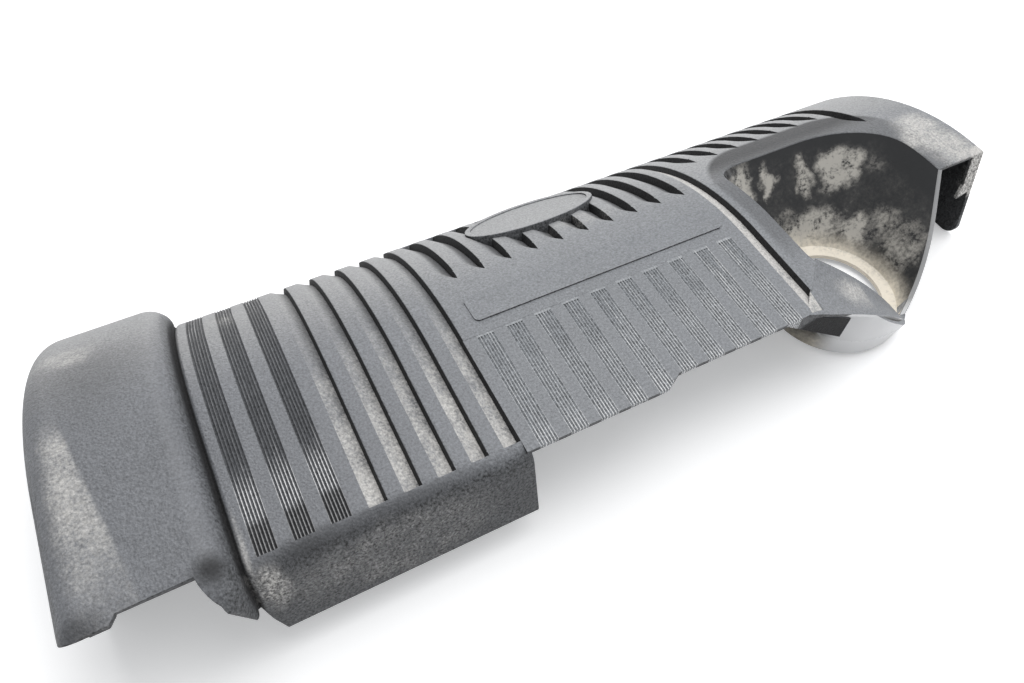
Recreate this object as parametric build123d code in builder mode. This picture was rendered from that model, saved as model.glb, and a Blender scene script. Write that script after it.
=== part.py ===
import os
from math import acos, asin, cos, degrees, radians, sin, sqrt, tan

from build123d import *

# A moulded plastic engine cover: one thin shell, standing as it lies on a bench.
# X runs along the engine, -Y is the side with the rounded nose, Z = 0 is the bench.

# Overall sizes, millimetres
cover_length = 539.0
panel_height = 60.0
wall = 2.6

# Cross-section of the shell: nose arc, flat top panel, long crown arc
nose_radius = 12.0
nose_turn = 75.3
panel_flat = 59.0
crown_radius = 151.5
skirt_height = 41.0

# Raised hood at the left end
hood_length = 69.0
hood_rise = 13.0
hood_edge_radius = 14.0
hood_shoulder_radius = 12.5
inner_share = 0.5
hood_reach = 5.3
hood_foot_length = 21.2
hood_foot_depth = 3.6
hood_arch_length = 28.7
hood_tab_setback = 6.0
hood_tab_drop = 8.0
hood_side_slant = 31.0
hood_side_drop = 3.0
skirt_setback = 7.4

# Rib pattern: fine bands and saw-tooth flutes, evenly spaced from the hood to the bowl
first_rib_offset = 86.0
last_rib_gap = 14.0
nose_bands = 3
long_flutes = 5
panel_bands = 10
flute_width = 8.5
flute_depth = 3.6
flute_wall_run = 1.2
nose_run = 10.0
groove_count = 6
band_width = 9.2
groove_depth = 0.8
groove_land = 0.3
band_end_gap = 1.5
valley_width = 3.2
valley_depth = 1.8
valley_wall_run = 1.1
backing_margin = 2.0

# Short flutes over the crown
slot_depth = 5.0
slot_ramp_radius = 30.0
slot_tip_angle = 15.9
side_slots = 7
side_slot_tip_angle = 28.0
last_slot_tip_angle = 18.5

# Near edge of the top panel
edge_reach = 8.5
edge_step = 5.4
edge_step_offset = 76.0
edge_step_run = 9.0

# Plain oval badge plate and plain pad in the middle of the panel
badge_length = 82.0
badge_width = 45.0
badge_angle = 32.0
badge_offset = 80.0
badge_height = 0.6
badge_rim = 3.5
badge_rim_height = 0.8
pad_left_gap = 10.5
pad_right_gap = 15.5
pad_width = 17.0
pad_angle = 6.0
pad_height = 0.6
pad_corner_radius = 3.0

# Filler bowl near the right end
bowl_end_gap = 35.8
bowl_length = 115.2
bowl_far_reach = 62.5
bowl_corner_radius = 10.0
bowl_round_radius = 46.0
bowl_floor_radius = 41.5
bowl_floor_offset = 40.4
bowl_floor_reach = 29.8
bowl_floor_height = 2.4
bowl_ring_flat = 0.5
filler_radius = 31.2
bowl_lip_angle = 45.5

# Strip that carries the panel across the front of the bowl
strip_lead = 11.8
strip_fold = 28.5
strip_end_angle = 51.5
strip_mid_width = 36.0
strip_mid_share = 0.45
strip_mid_rise = 5.5
strip_end_width = 14.0
strip_overhang = 2.2
strip_end_tilt = 38.0

# Flange under the near edge beside the bowl
flange_lead = 14.0
flange_length = 44.0
flange_foot_z = 14.0
flange_end_height = 18.0

# Right end wall
end_edge_reach = 49.0
end_edge_slope = 14.5
end_corner_radius = 8.0
end_lip_width = 9.0
end_lip_drop = 24.0

# Locating pins under the panel
pin_radius = 4.0
pin_length = 14.0
boss_radius = 7.0
boss_sides = 6
boss_length = 26.0
pin_left_offset = 115.0
pin_right_gap = 39.0
pin_near_reach = 25.5
pin_far_reach = 20.5

# Places worked out from the sizes above
left_x = -cover_length / 2
right_x = cover_length / 2
datum_x = left_x + first_rib_offset
groove_x = left_x + hood_length
bowl_right_x = right_x - bowl_end_gap
bowl_left_x = bowl_right_x - bowl_length
long_flute_x = bowl_left_x - last_rib_gap
pitch = (long_flute_x - datum_x) / (nose_bands + long_flutes + panel_bands)
flute_x = datum_x + nose_bands * pitch
nose_end_x = flute_x + (long_flutes - 1) * pitch
last_slot_x = long_flute_x + (side_slots + 1) * pitch
nose_center_z = panel_height - nose_radius
crown_center_z = panel_height - crown_radius


def crown_sweep(rise, base):
    return degrees(acos((base - crown_center_z) / (crown_radius + rise)))


skirt_z = panel_height - skirt_height
turn_z = nose_center_z + nose_radius * cos(radians(nose_turn))
skirt_reach = nose_radius * sin(radians(nose_turn)) + (turn_z - skirt_z) / tan(radians(nose_turn))
crown_reach = (crown_radius + hood_rise) * sin(radians(crown_sweep(hood_rise, 0)))
skirt_y = -(skirt_reach + panel_flat + crown_reach) / 2
nose_y = skirt_y + skirt_reach
crown_y = nose_y + panel_flat
over = 1.0
below_bench = -over
ramp_center = crown_radius - slot_depth + slot_ramp_radius
ramp_cosine = (ramp_center**2 + crown_radius**2 - slot_ramp_radius**2) / (2 * ramp_center * crown_radius)
ramp_share = degrees(acos(ramp_cosine))
ramp_turn = degrees(asin(crown_radius * sin(radians(ramp_share)) / slot_ramp_radius))


def crown_point(angle, rise=0.0):
    reach = crown_radius + rise
    return (crown_y + reach * sin(radians(angle)), crown_center_z + reach * cos(radians(angle)))


def nose_point(angle, rise=0.0):
    reach = nose_radius + rise
    return (nose_y - reach * sin(radians(angle)), nose_center_z + reach * cos(radians(angle)))


# Point on the flat skirt below the nose at one height
def skirt_point(height, rise=0.0):
    turn_y, turn_height = nose_point(nose_turn, rise)
    return (turn_y - (turn_height - height) / tan(radians(nose_turn)), height)


# Closed outline under the skin, from the foot of the skirt to the far foot
def arch_lines(rise, base):
    sweep_angle = crown_sweep(rise, base)
    Line(skirt_point(base, rise), nose_point(nose_turn, rise))
    CenterArc((nose_y, nose_center_z), nose_radius + rise, 90 + nose_turn, -nose_turn)
    Line((nose_y, panel_height + rise), (crown_y, panel_height + rise))
    CenterArc((crown_y, crown_center_z), crown_radius + rise, 90, -sweep_angle)
    Line(crown_point(sweep_angle, rise), skirt_point(base, rise))


# Closed outline of a skin between two offsets, from a near edge to the far foot
def skin_lines(near_y, outer, inner):
    outer_sweep = crown_sweep(outer, 0)
    inner_sweep = crown_sweep(inner, 0)
    Line((near_y, panel_height + inner), (near_y, panel_height + outer))
    Line((near_y, panel_height + outer), (crown_y, panel_height + outer))
    CenterArc((crown_y, crown_center_z), crown_radius + outer, 90, -outer_sweep)
    Line(crown_point(outer_sweep, outer), crown_point(inner_sweep, inner))
    CenterArc((crown_y, crown_center_z), crown_radius + inner, 90 - inner_sweep, inner_sweep)
    Line((crown_y, panel_height + inner), (near_y, panel_height + inner))


# Closed outline of the crown alone, between two offsets, from one angle to the far foot
def crown_lines(start_angle, outer, inner):
    outer_sweep = crown_sweep(outer, 0)
    inner_sweep = crown_sweep(inner, 0)
    Line(crown_point(start_angle, inner), crown_point(start_angle, outer))
    CenterArc((crown_y, crown_center_z), crown_radius + outer, 90 - start_angle, start_angle - outer_sweep)
    Line(crown_point(outer_sweep, outer), crown_point(inner_sweep, inner))
    CenterArc((crown_y, crown_center_z), crown_radius + inner, 90 - inner_sweep, inner_sweep - start_angle)


# Section of one saw-tooth flute, local y pointing into the skin
def flute_section(rib_x):
    with BuildLine() as outline:
        Polyline(
            (rib_x - flute_width, -over),
            (rib_x - flute_width, 0),
            (rib_x - flute_wall_run, flute_depth),
            (rib_x, 0),
            (rib_x, -over),
            close=True,
        )
    make_face(outline.edges())


# Section of one short flute, its deep corner on the path, local y pointing into the skin
def slot_section(rib_x):
    with BuildLine() as outline:
        Polyline(
            (rib_x - 2 * flute_width, -2 * slot_depth),
            (rib_x, 0),
            (rib_x + flute_wall_run, -slot_depth - over),
            (rib_x + flute_wall_run, -2 * slot_depth - over),
            (rib_x - 2 * flute_width, -2 * slot_depth - over),
            close=True,
        )
    make_face(outline.edges())


# Path of one short flute: a round ramp down from its tip, then along under the crown
def slot_path(tip_angle):
    ramp_angle = tip_angle + ramp_share
    ramp_y, ramp_z = crown_point(ramp_angle, slot_ramp_radius - slot_depth)
    end_angle = crown_sweep(-slot_depth, below_bench)
    CenterArc((ramp_y, ramp_z), slot_ramp_radius, 270 - ramp_angle - ramp_turn, ramp_turn)
    CenterArc((crown_y, crown_center_z), crown_radius - slot_depth, 90 - ramp_angle, ramp_angle - end_angle)


# Start of one short flute on the crown
def slot_start(tip_angle):
    return path_start(crown_point(tip_angle), -tip_angle - ramp_share - ramp_turn)


# Plane square to a path at its start, local x along the cover
def path_start(point, angle):
    return Plane(
        origin=(0, point[0], point[1]),
        x_dir=(1, 0, 0),
        z_dir=(0, cos(radians(angle)), sin(radians(angle))),
    )


# Section of one band of fine V grooves, local y pointing into the skin
def band_section(rib_x):
    groove_pitch = band_width / groove_count
    half = groove_pitch / 2 - groove_land / 2
    for i in range(groove_count):
        groove_x_mid = rib_x - band_width + (i + 0.5) * groove_pitch
        with BuildLine() as outline:
            Polyline(
                (groove_x_mid - half, -over),
                (groove_x_mid - half, 0),
                (groove_x_mid, groove_depth),
                (groove_x_mid + half, 0),
                (groove_x_mid + half, -over),
                close=True,
            )
        make_face(outline.edges())


# Hood: rounded block over the left end, and the space inside it
with BuildPart() as hood_outer:
    with BuildSketch(Plane.YZ.offset(left_x)):
        with BuildLine():
            arch_lines(hood_rise, 0)
        make_face()
    extrude(amount=hood_length)
    hood_edges = hood_outer.edges().filter_by(lambda e: e.center().Z > over)
    fillet(hood_edges.group_by(Axis.X)[0], radius=hood_edge_radius)
    hood_edges = hood_outer.edges().filter_by(lambda e: e.center().Z > over)
    fillet(hood_edges.group_by(Axis.X)[-1], radius=hood_shoulder_radius)

with BuildPart() as hood_inner:
    with BuildSketch(Plane.YZ.offset(left_x + wall)):
        with BuildLine():
            arch_lines(hood_rise - wall, below_bench)
        make_face()
    extrude(amount=hood_length - 2 * wall)
    inner_edges = hood_inner.edges().filter_by(lambda e: e.center().Z > over)
    chamfer(inner_edges.group_by(Axis.X)[0], length=hood_edge_radius * inner_share)
    inner_edges = hood_inner.edges().filter_by(lambda e: e.center().Z > over)
    chamfer(inner_edges.group_by(Axis.X)[-1], length=hood_shoulder_radius * inner_share)

# Lengthwise and crosswise places of the panel edges and the bowl
edge_y = nose_y - edge_reach
edge_step_x = nose_end_x + edge_step_offset
end_edge_y = nose_y + end_edge_reach
bowl_x = bowl_left_x + bowl_floor_offset
bowl_y = crown_y - bowl_floor_reach
bowl_far_y = crown_y + bowl_far_reach
bowl_near_y = bowl_y - bowl_floor_radius
bowl_floor_top = bowl_floor_height + wall
strip_x = long_flute_x - strip_lead
strip_far_y = edge_y + edge_step + strip_fold
land_reach = bowl_floor_radius - wall / 2
land_x = bowl_x + land_reach * cos(radians(strip_end_angle))
land_y = bowl_y - land_reach * sin(radians(strip_end_angle))
fold_x = (strip_x + bowl_left_x + wall) / 2
fold_y = edge_y + edge_step + strip_fold / 2
fold_z = panel_height - wall / 2
strip_mid_x = fold_x + (land_x - fold_x) * strip_mid_share
strip_mid_y = fold_y + (land_y - fold_y) * strip_mid_share
strip_mid_z = fold_z + (bowl_floor_top - fold_z) * strip_mid_share + strip_mid_rise


# Bowl block: a rounded square at panel level drawn in to a ring at the bottom
def bowl_loft(grow, floor_z):
    ring = bowl_floor_radius - wall + grow
    with BuildSketch(Plane.XY.offset(floor_z)) as ring_sketch:
        with Locations((bowl_x, bowl_y)):
            RectangleRounded(2 * ring, 2 * ring, ring - bowl_ring_flat)
    with BuildSketch(Plane.XY.offset(panel_height + over)) as mouth_sketch:
        with Locations(((bowl_left_x + bowl_right_x) / 2, (bowl_far_y + bowl_near_y) / 2)):
            Rectangle(bowl_length + 2 * grow, bowl_far_y - bowl_near_y + 2 * grow)
        corners = mouth_sketch.vertices()
        far_left = corners.sort_by(Axis.X)[:2].sort_by(Axis.Y)[-1]
        fillet(corners.filter_by(lambda v: v != far_left), radius=bowl_round_radius + grow)
        corners = mouth_sketch.vertices()
        fillet(corners.sort_by(Axis.X)[:2].sort_by(Axis.Y)[-1], radius=bowl_corner_radius + grow)
    loft([ring_sketch.sketch, mouth_sketch.sketch], ruled=True)


# Space the bowl may fill: behind its slanted lip, and under the strip on the near side
with BuildPart() as bowl_limits:
    with BuildSketch(Plane.YZ.offset(bowl_left_x - 2 * wall)):
        with BuildLine():
            lip_run = (panel_height - bowl_floor_top) / tan(radians(bowl_lip_angle))
            bowl_sweep = crown_sweep(0, below_bench)
            Polyline(
                (bowl_near_y - 2 * wall, below_bench),
                (bowl_near_y - 2 * wall, bowl_floor_top),
                (end_edge_y - lip_run, bowl_floor_top),
                (end_edge_y, panel_height),
                (crown_y, panel_height),
            )
            CenterArc((crown_y, crown_center_z), crown_radius, 90, -bowl_sweep)
            Line(crown_point(bowl_sweep), (bowl_near_y - 2 * wall, below_bench))
        make_face()
    extrude(amount=bowl_length + 4 * wall)
    with BuildSketch(Plane.XZ.offset(-bowl_y)):
        with BuildLine():
            Polyline(
                (strip_x, below_bench),
                (strip_x, panel_height),
                (fold_x, panel_height - wall),
                (strip_mid_x, strip_mid_z),
                (land_x, bowl_floor_top + wall),
                (bowl_x + bowl_floor_radius, bowl_floor_top),
                (bowl_x + bowl_floor_radius, below_bench),
                close=True,
            )
        make_face()
    extrude(amount=bowl_y - bowl_near_y + 2 * wall)

with BuildPart() as bowl_outer:
    bowl_loft(wall, bowl_floor_height)
    add(bowl_limits.part, mode=Mode.INTERSECT)

with BuildPart() as bowl_inner:
    bowl_loft(0, bowl_floor_top)

with BuildPart() as cover_shell:
    # Nosed section beside the hood, and the panel and crown that run on to the right end
    add(hood_outer.part)
    with BuildSketch(Plane.YZ.offset(groove_x - over)):
        with BuildLine():
            arch_lines(0, 0)
        make_face()
    extrude(amount=nose_end_x + wall - groove_x + over)
    with BuildSketch(Plane.YZ.offset(nose_end_x)):
        with BuildLine():
            skin_lines(edge_y, 0, -wall)
        make_face()
    extrude(amount=bowl_x - nose_end_x)
    with BuildSketch(Plane.YZ.offset(bowl_x)):
        with BuildLine():
            skin_lines(end_edge_y, 0, -wall)
        make_face()
    extrude(amount=right_x - bowl_x)

    # Hollow underside
    add(hood_inner.part, mode=Mode.SUBTRACT)
    with BuildSketch(Plane.YZ.offset(groove_x - 2 * wall)):
        with BuildLine():
            arch_lines(-wall - valley_depth, below_bench)
        make_face()
    extrude(amount=2 * wall + valley_width + wall, mode=Mode.SUBTRACT)
    with BuildSketch(Plane.YZ.offset(groove_x + valley_width + wall)):
        with BuildLine():
            arch_lines(-wall, below_bench)
        make_face()
    extrude(amount=nose_end_x - groove_x - valley_width + over, mode=Mode.SUBTRACT)

    # Wall that closes the right end of the nosed section
    with BuildSketch(Plane.YZ.offset(nose_end_x)):
        with BuildLine():
            Line(skirt_point(skirt_z, -wall / 2), nose_point(nose_turn, -wall / 2))
            CenterArc((nose_y, nose_center_z), nose_radius - wall / 2, 90 + nose_turn, -nose_turn)
            Line((nose_y, panel_height - wall / 2), (nose_y, skirt_z))
            Line((nose_y, skirt_z), skirt_point(skirt_z, -wall / 2))
        make_face()
    extrude(amount=wall)

    # Near edge of the hood: foot, arch and the tab that runs down beside the skirt
    foot_end_x = left_x + hood_foot_length
    arch_x = foot_end_x + hood_foot_depth
    tab_x = arch_x + hood_arch_length
    hood_edge_y = nose_y - hood_reach
    hood_top_z = panel_height + hood_rise
    with BuildSketch(Plane.XY.offset(below_bench)):
        with BuildLine():
            Polyline(
                (left_x - over, hood_edge_y - hood_foot_depth),
                (foot_end_x, hood_edge_y - hood_foot_depth),
                (arch_x, hood_edge_y),
                (tab_x, hood_edge_y),
                (tab_x, skirt_y),
                (groove_x, skirt_y),
                (groove_x, skirt_y - panel_height),
                (left_x - over, skirt_y - panel_height),
                close=True,
            )
        make_face()
    extrude(amount=hood_top_z - below_bench, mode=Mode.SUBTRACT)
    with BuildSketch(Plane.XZ.offset(-hood_edge_y)):
        with BuildLine():
            Polyline(
                (tab_x - over, below_bench),
                (tab_x - over, hood_top_z),
                (tab_x, hood_top_z),
                (tab_x + hood_tab_setback, hood_top_z - hood_tab_drop),
                (groove_x + skirt_setback, skirt_z),
                (nose_end_x + wall + over, skirt_z),
                (nose_end_x + wall + over, below_bench),
                close=True,
            )
        make_face()
    extrude(amount=panel_height, mode=Mode.SUBTRACT)
    side_top_z = hood_top_z - hood_side_drop
    side_run = side_top_z * tan(radians(hood_side_slant))
    side_y = hood_edge_y - hood_foot_depth
    with BuildSketch(Plane.YZ.offset(left_x - over)):
        with BuildLine():
            Polyline(
                (side_y - over, below_bench),
                (side_y - over, side_top_z),
                (side_y, side_top_z),
                (side_y + side_run, below_bench),
                close=True,
            )
        make_face()
    extrude(amount=hood_edge_radius + over, mode=Mode.SUBTRACT)

    # Right end wall and the lip on its near edge
    end_foot_y = end_edge_y - panel_height * tan(radians(end_edge_slope))
    with BuildSketch(Plane.YZ.offset(right_x - wall)) as end_sketch:
        with BuildLine():
            Line((end_foot_y, 0), (end_edge_y, panel_height))
            Line((end_edge_y, panel_height), (crown_y, panel_height))
            CenterArc((crown_y, crown_center_z), crown_radius, 90, -crown_sweep(0, 0))
            Line(crown_point(crown_sweep(0, 0)), (end_foot_y, 0))
        make_face()
        fillet(end_sketch.vertices().sort_by(Axis.X)[0], radius=end_corner_radius)
    extrude(amount=wall)
    end_lip_run = end_lip_drop * tan(radians(end_edge_slope))
    with BuildSketch(Plane.YZ.offset(right_x - end_lip_width)):
        with BuildLine():
            Polyline(
                (end_edge_y, panel_height),
                (end_edge_y - end_lip_run, panel_height - end_lip_drop),
                (end_edge_y - end_lip_run + wall, panel_height - end_lip_drop),
                (end_edge_y + wall, panel_height),
                close=True,
            )
        make_face()
    extrude(amount=end_lip_width)

    # Thicker skin under the flutes, so that they keep a full wall below them
    with BuildSketch(Plane.YZ.offset(flute_x - flute_width - wall)):
        with BuildLine():
            backing_angle = nose_run + backing_margin
            outer = -wall / 2
            inner = -wall - flute_depth
            Line(nose_point(backing_angle, inner), nose_point(backing_angle, outer))
            CenterArc((nose_y, nose_center_z), nose_radius + outer, 90 + backing_angle, -backing_angle)
            Line((nose_y, panel_height + outer), (crown_y, panel_height + outer))
            CenterArc((crown_y, crown_center_z), crown_radius + outer, 90, -crown_sweep(outer, 0))
            Line(crown_point(crown_sweep(outer, 0), outer), crown_point(crown_sweep(inner, 0), inner))
            CenterArc(
                (crown_y, crown_center_z),
                crown_radius + inner,
                90 - crown_sweep(inner, 0),
                crown_sweep(inner, 0),
            )
            Line((crown_y, panel_height + inner), (nose_y, panel_height + inner))
            CenterArc((nose_y, nose_center_z), nose_radius + inner, 90, backing_angle)
        make_face()
    extrude(amount=nose_end_x + wall - flute_x + flute_width + wall)
    with BuildSketch(Plane.YZ.offset(long_flute_x - flute_width - wall)):
        with BuildLine():
            skin_lines(edge_y + edge_step + wall, -wall / 2, -wall - flute_depth)
        make_face()
    extrude(amount=flute_width + 2 * wall)
    with BuildSketch(Plane.YZ.offset(nose_end_x)):
        with BuildLine():
            crown_lines(slot_tip_angle - backing_margin, -wall / 2, -wall - slot_depth)
        make_face()
    extrude(amount=panel_bands * pitch + wall)
    with BuildSketch(Plane.YZ.offset(long_flute_x)):
        with BuildLine():
            crown_lines(side_slot_tip_angle - backing_margin, -wall / 2, -wall - slot_depth)
        make_face()
    extrude(amount=right_x - wall - long_flute_x)
    with BuildSketch(Plane.YZ.offset(last_slot_x - flute_width - wall)):
        with BuildLine():
            crown_lines(last_slot_tip_angle - backing_margin, -wall / 2, -wall - slot_depth)
        make_face()
    extrude(amount=flute_width + 2 * wall)

    # Near edge of the panel: step, and the line where the strip bends down
    with BuildSketch(Plane.XY.offset(panel_height - 2 * wall - flute_depth)):
        with BuildLine():
            Polyline(
                (edge_step_x, edge_y - over),
                (edge_step_x, edge_y),
                (edge_step_x + edge_step_run, edge_y + edge_step),
                (strip_x, edge_y + edge_step),
                (bowl_left_x + wall, strip_far_y),
                (bowl_x + over, strip_far_y),
                (bowl_x + over, edge_y - over),
                close=True,
            )
        make_face()
    extrude(amount=2 * wall + flute_depth + over, mode=Mode.SUBTRACT)

    # Fine bands and long flutes over the nosed section
    with BuildLine(Plane.YZ):
        CenterArc((nose_y, nose_center_z), nose_radius, 90 + nose_run, -nose_run)
        Line((nose_y, panel_height), (crown_y, panel_height))
        CenterArc((crown_y, crown_center_z), crown_radius, 90, -crown_sweep(0, below_bench))
    with BuildSketch(path_start(nose_point(nose_run), nose_run)):
        for i in range(nose_bands):
            band_section(datum_x + i * pitch)
        for i in range(long_flutes):
            flute_section(flute_x + i * pitch)
    sweep(mode=Mode.SUBTRACT)

    # Valley between the hood and the nosed section
    with BuildLine(Plane.YZ):
        Line(skirt_point(skirt_z - over), nose_point(nose_turn))
        CenterArc((nose_y, nose_center_z), nose_radius, 90 + nose_turn, -nose_turn)
        Line((nose_y, panel_height), (crown_y, panel_height))
        CenterArc((crown_y, crown_center_z), crown_radius, 90, -crown_sweep(0, below_bench))
    with BuildSketch(path_start(skirt_point(skirt_z - over), nose_turn)):
        with BuildLine():
            Polyline(
                (groove_x, -over),
                (groove_x, 0),
                (groove_x + valley_wall_run, valley_depth),
                (groove_x + valley_width, 0),
                (groove_x + valley_width, -over),
                close=True,
            )
        make_face()
    sweep(mode=Mode.SUBTRACT)

    # Fine bands on the flat of the panel
    with BuildSketch(path_start((edge_y - over, panel_height), 0)):
        for i in range(panel_bands):
            band_section(nose_end_x + (i + 1) * pitch)
    extrude(amount=crown_y - band_end_gap - edge_y + over, mode=Mode.SUBTRACT)

    # Long flute at the right of the bands
    with BuildLine(Plane.YZ):
        Line((edge_y - over, panel_height), (crown_y, panel_height))
        CenterArc((crown_y, crown_center_z), crown_radius, 90, -crown_sweep(0, below_bench))
    with BuildSketch(path_start((edge_y - over, panel_height), 0)):
        flute_section(long_flute_x)
    sweep(mode=Mode.SUBTRACT)

    # Short flutes over the crown
    with BuildLine(Plane.YZ):
        slot_path(slot_tip_angle)
    with BuildSketch(slot_start(slot_tip_angle)):
        for i in range(panel_bands):
            slot_section(nose_end_x + (i + 1) * pitch)
    sweep(mode=Mode.SUBTRACT)
    with BuildLine(Plane.YZ):
        slot_path(side_slot_tip_angle)
    with BuildSketch(slot_start(side_slot_tip_angle)):
        for i in range(side_slots):
            slot_section(long_flute_x + (i + 1) * pitch)
    sweep(mode=Mode.SUBTRACT)
    with BuildLine(Plane.YZ):
        slot_path(last_slot_tip_angle)
    with BuildSketch(slot_start(last_slot_tip_angle)):
        slot_section(last_slot_x)
    sweep(mode=Mode.SUBTRACT)

    # Plain oval badge plate with a raised rim
    badge_y, badge_z = crown_point(badge_angle)
    badge_plane = Plane(
        origin=(nose_end_x + badge_offset, badge_y, badge_z),
        x_dir=(1, 0, 0),
        z_dir=(0, sin(radians(badge_angle)), cos(radians(badge_angle))),
    )
    with BuildSketch(badge_plane.offset(-slot_depth - wall / 2)):
        Ellipse(badge_length / 2, badge_width / 2)
    extrude(amount=slot_depth + wall / 2 + badge_height)
    with BuildSketch(badge_plane.offset(badge_height - over)):
        Ellipse(badge_length / 2, badge_width / 2)
        Ellipse(badge_length / 2 - badge_rim, badge_width / 2 - badge_rim, mode=Mode.SUBTRACT)
    extrude(amount=over + badge_rim_height)

    # Plain low pad between the bands and the badge
    pad_y, pad_z = crown_point(pad_angle)
    pad_left_x = nose_end_x + pad_left_gap
    pad_right_x = long_flute_x - pad_right_gap
    pad_plane = Plane(
        origin=((pad_left_x + pad_right_x) / 2, pad_y, pad_z),
        x_dir=(1, 0, 0),
        z_dir=(0, sin(radians(pad_angle)), cos(radians(pad_angle))),
    )
    with BuildSketch(pad_plane.offset(-wall / 2)):
        RectangleRounded(pad_right_x - pad_left_x, pad_width, pad_corner_radius)
    extrude(amount=wall / 2 + pad_height)

    # Filler bowl with its ring and hole
    add(bowl_outer.part)
    add(bowl_inner.part, mode=Mode.SUBTRACT)
    with BuildSketch(Plane.XY.offset(bowl_floor_height - over)):
        with Locations((bowl_x, bowl_y)):
            Circle(filler_radius)
    extrude(amount=wall + 2 * over, mode=Mode.SUBTRACT)

    # Strip that bends down from the panel and lands on the ring
    fold = Vector(fold_x, fold_y, fold_z)
    land = Vector(land_x, land_y, bowl_floor_top)
    fold_dir = Vector(2 * (fold_x - strip_x), strip_fold, 0)
    fold_width = fold_dir.length
    fold_dir = fold_dir.normalized()
    fold_out = fold_dir.cross(Vector(0, 0, 1))
    land_dir = fold_dir.rotate(Axis((0, 0, 0), fold_out), -strip_end_tilt)
    mid_dir = fold_dir.rotate(Axis((0, 0, 0), fold_out), -strip_end_tilt * strip_mid_share)
    strip_run = land - fold
    land_out = strip_run - land_dir * strip_run.dot(land_dir)
    mid_out = strip_run - mid_dir * strip_run.dot(mid_dir)
    with BuildSketch(Plane(origin=fold - fold_out * over, x_dir=fold_dir, z_dir=fold_out)):
        Rectangle(fold_width, wall)
    with BuildSketch(Plane(origin=(strip_mid_x, strip_mid_y, strip_mid_z), x_dir=mid_dir, z_dir=mid_out)):
        with Locations((-strip_overhang, 0)):
            Rectangle(strip_mid_width, wall)
    with BuildSketch(Plane(origin=land, x_dir=land_dir, z_dir=land_out)):
        with Locations((-strip_overhang, 0)):
            Rectangle(strip_end_width, wall)
    loft()

    # Flange that hangs under the near edge beside the bowl
    flange_x = strip_x + flange_length
    with BuildSketch(Plane.XZ.offset(-edge_y - edge_step - wall)):
        with BuildLine():
            Polyline(
                (strip_x - flange_lead, panel_height - wall / 2),
                (flange_x, flange_foot_z),
                (flange_x, flange_foot_z + flange_end_height),
                (strip_x, panel_height - wall / 2),
                close=True,
            )
        make_face()
    extrude(amount=wall)

    # Locating pins on bosses under the panel
    for pin_x in (left_x + pin_left_offset, long_flute_x - pin_right_gap):
        for pin_y in (nose_y + pin_near_reach, crown_y + pin_far_reach):
            outer_y = max(pin_y + boss_radius - crown_y, 0)
            boss_top = crown_center_z + sqrt(crown_radius**2 - outer_y**2) - wall / 2
            with BuildSketch(Plane.XY.offset(panel_height - boss_length)):
                with Locations((pin_x, pin_y)):
                    RegularPolygon(boss_radius, boss_sides)
            extrude(amount=boss_top - panel_height + boss_length)
            with BuildSketch(Plane.XY.offset(panel_height - boss_length)):
                with Locations((pin_x, pin_y)):
                    Circle(pin_radius)
            extrude(amount=-pin_length)

cover_shell.part.label = "cover_shell"

os.makedirs("parts", exist_ok=True)
export_step(cover_shell.part, "parts/cover_shell.step")
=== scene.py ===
import math

import bmesh
import bpy
from mathutils import Matrix, Vector


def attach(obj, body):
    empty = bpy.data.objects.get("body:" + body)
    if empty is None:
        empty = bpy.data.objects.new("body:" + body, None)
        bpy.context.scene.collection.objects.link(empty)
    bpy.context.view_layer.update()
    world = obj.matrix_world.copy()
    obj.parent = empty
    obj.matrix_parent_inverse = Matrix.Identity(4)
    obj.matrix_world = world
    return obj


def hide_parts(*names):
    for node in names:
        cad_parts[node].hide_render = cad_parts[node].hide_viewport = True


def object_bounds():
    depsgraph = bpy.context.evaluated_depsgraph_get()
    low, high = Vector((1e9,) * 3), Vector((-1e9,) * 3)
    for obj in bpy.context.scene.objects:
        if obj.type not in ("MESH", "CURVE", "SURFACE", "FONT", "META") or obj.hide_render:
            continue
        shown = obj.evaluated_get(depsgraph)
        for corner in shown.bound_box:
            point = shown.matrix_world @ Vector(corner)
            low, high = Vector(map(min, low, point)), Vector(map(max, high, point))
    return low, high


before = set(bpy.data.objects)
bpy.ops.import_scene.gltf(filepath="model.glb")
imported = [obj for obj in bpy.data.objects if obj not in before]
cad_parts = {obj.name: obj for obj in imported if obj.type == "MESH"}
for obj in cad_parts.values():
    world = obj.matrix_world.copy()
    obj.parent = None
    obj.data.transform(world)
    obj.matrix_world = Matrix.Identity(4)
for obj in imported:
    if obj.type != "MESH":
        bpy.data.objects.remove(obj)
cadLow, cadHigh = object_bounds()
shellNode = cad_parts["cover_shell"]
leftX, rightX = cadLow.x, cadHigh.x
print("frame loaded, cover box", tuple(cadLow), tuple(cadHigh))

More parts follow.
